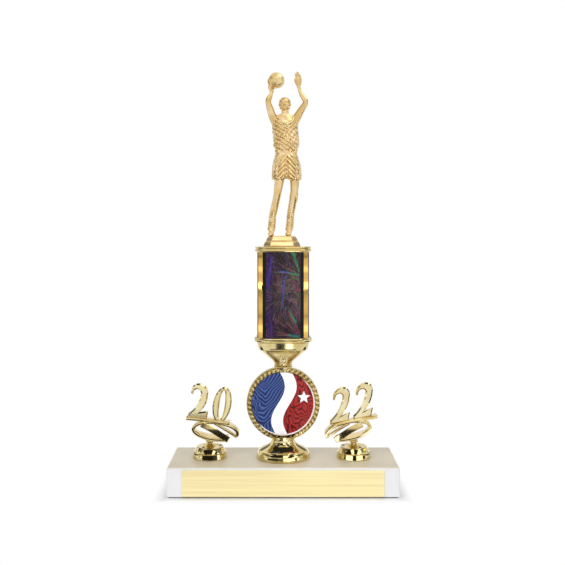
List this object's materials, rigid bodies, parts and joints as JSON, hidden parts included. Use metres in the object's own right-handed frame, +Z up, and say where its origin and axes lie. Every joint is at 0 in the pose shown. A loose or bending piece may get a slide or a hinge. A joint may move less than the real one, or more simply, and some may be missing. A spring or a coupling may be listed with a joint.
{
  "type": "column trophy",
  "caption": "Single-column sports trophy: stone base with a blank plate, ring riser with a printed disc, foil column, ball player figure and year trims.",
  "frame": {"origin": "middle of the felt's underside, which is the face that the trophy stands on", "axes": "+Z up; the front, with the blank plate and the printed disc, faces -Y; +X is to the right seen from the front"},
  "size_m": [0.1778, 0.0643, 0.3307],
  "materials": {
    "white_marble": "polished",
    "black_felt": "felted",
    "brushed_plate": "brushed, lacquered",
    "mounting_tape": "matt",
    "zinc_steel": "zinc plated",
    "insert_brass": "turned",
    "gold_casting": "vacuum-metallised bright gold",
    "gold_figure": "vacuum-metallised pale gold",
    "printed_disc": "printed foil under clear lacquer",
    "column_foil": "prismatic foil on a plastic tube",
    "mirror_strip": "gold mirror foil"
  },
  "bodies": {
    "root": {"marble_base": "white_marble", "felt_pad": "black_felt", "engraving_plate": "brushed_plate", "plate_tape": "mounting_tape", "riser_screw": "zinc_steel", "riser_washer": "zinc_steel", "trim_screws": "zinc_steel", "trim_washers": "zinc_steel", "riser_insert": "insert_brass", "neck_insert": "insert_brass", "left_trim_insert": "insert_brass", "right_trim_insert": "insert_brass", "figure_insert": "insert_brass", "ring_riser": "gold_casting", "insert_disc": "printed_disc", "column_cup": "gold_casting", "column_tube": "column_foil", "edge_strip_front_left": "mirror_strip", "edge_strip_front_right": "mirror_strip", "edge_strip_rear_left": "mirror_strip", "edge_strip_rear_right": "mirror_strip", "column_cap": "gold_casting", "tie_rod": "zinc_steel", "cap_washer": "zinc_steel", "cap_nut": "zinc_steel", "left_trim_foot": "gold_casting", "right_trim_foot": "gold_casting", "trim_20": "gold_casting", "trim_22": "gold_casting", "player_figure": "gold_figure"}
  },
  "joints": []
}
